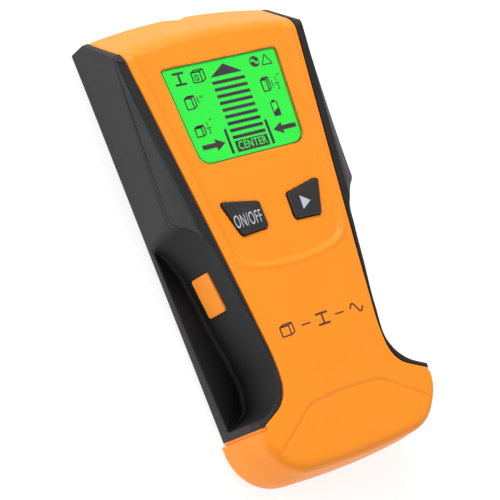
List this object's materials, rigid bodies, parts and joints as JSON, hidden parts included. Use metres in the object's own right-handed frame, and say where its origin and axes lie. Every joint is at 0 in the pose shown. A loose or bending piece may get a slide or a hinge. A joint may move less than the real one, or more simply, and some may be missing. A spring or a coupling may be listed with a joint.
{
  "type": "stud finder",
  "caption": "Hand-held stud, metal and live-wire detector with a backlit display, two face keys, a side key and grip panels.",
  "frame": {"origin": "centre of the back face, on which the detector lies", "axes": "+Z out of the face with the display, +Y towards the sensing end, +X to the right as the display is read"},
  "size_m": [0.0752, 0.1639, 0.0293],
  "materials": {
    "orange_abs": "fine moulded texture, satin orange",
    "black_elastomer": "fine-grained matt black grip",
    "key_plastic": "satin charcoal keys with light grey marks",
    "clear_window": "clear polished acrylic window",
    "display": "backlit green liquid crystal cell",
    "diffuser": "milky light guide",
    "grey_plastic": "moulded grey plastic",
    "circuit_board": "green solder mask over glass fibre",
    "silicone": "striped conductive silicone",
    "chip_epoxy": "black moulding compound",
    "screw_steel": "zinc-plated steel",
    "copper": "bare and enamelled copper",
    "ferrite": "sintered ferrite",
    "battery_can": null,
    "red_insulation": "red wire insulation",
    "black_insulation": "black wire insulation",
    "foam": "soft black foam"
  },
  "bodies": {
    "housing": {"front_cover": "orange_abs", "rear_cover": "orange_abs", "left_grip": "black_elastomer", "right_grip": "black_elastomer", "lcd_lens": "clear_window", "lcd_upper_glass": "display", "lcd_lower_glass": "clear_window", "lcd_backlight": "diffuser", "zebra_strip": "silicone", "lcd_frame": "grey_plastic", "main_pcb": "circuit_board", "sensor_board": "circuit_board", "mcu_chip": "chip_epoxy", "on_off_switch": "chip_epoxy", "mode_switch": "chip_epoxy", "side_switch": "chip_epoxy", "battery": "battery_can", "battery_snap": "chip_epoxy", "battery_box": "grey_plastic", "red_lead": "red_insulation", "black_lead": "black_insulation", "electrode_left": "copper", "electrode_centre": "copper", "electrode_right": "copper", "metal_coil": "copper", "coil_core": "ferrite", "ac_antenna": "copper", "buzzer": "chip_epoxy", "board_screw_1": "screw_steel", "case_screw_1": "screw_steel", "board_screw_2": "screw_steel", "case_screw_2": "screw_steel", "board_screw_3": "screw_steel", "case_screw_3": "screw_steel", "board_screw_4": "screw_steel", "case_screw_4": "screw_steel"},
    "on_off_key": {"on_off_key": "key_plastic", "on_off_plunger": "grey_plastic"},
    "mode_key": {"mode_key": "key_plastic", "mode_plunger": "grey_plastic"},
    "side_button": {"side_button": "orange_abs", "side_plunger": "grey_plastic"},
    "battery_door": {"battery_door": "orange_abs", "battery_foam": "foam"}
  },
  "joints": [
    {"name": "on_off_press", "type": "slide", "parent": "housing", "child": "on_off_key", "axis": [0, 0, -1], "range_m": [0, 0.0008], "stiffness_N_per_m": 1500, "springref_m": -0.0003},
    {"name": "mode_press", "type": "slide", "parent": "housing", "child": "mode_key", "axis": [0, 0, -1], "range_m": [0, 0.0008], "stiffness_N_per_m": 1500, "springref_m": -0.0003},
    {"name": "side_press", "type": "slide", "parent": "housing", "child": "side_button", "axis": [0.9882, 0.1231, -0.0906], "range_m": [0, 0.001], "stiffness_N_per_m": 1500, "springref_m": -0.0003},
    {"name": "battery_door_hinge", "type": "hinge", "parent": "housing", "child": "battery_door", "pos_m": [0, -0.0232, 0.0022], "axis": [1, 0, 0], "range_deg": [0, 80]}
  ]
}
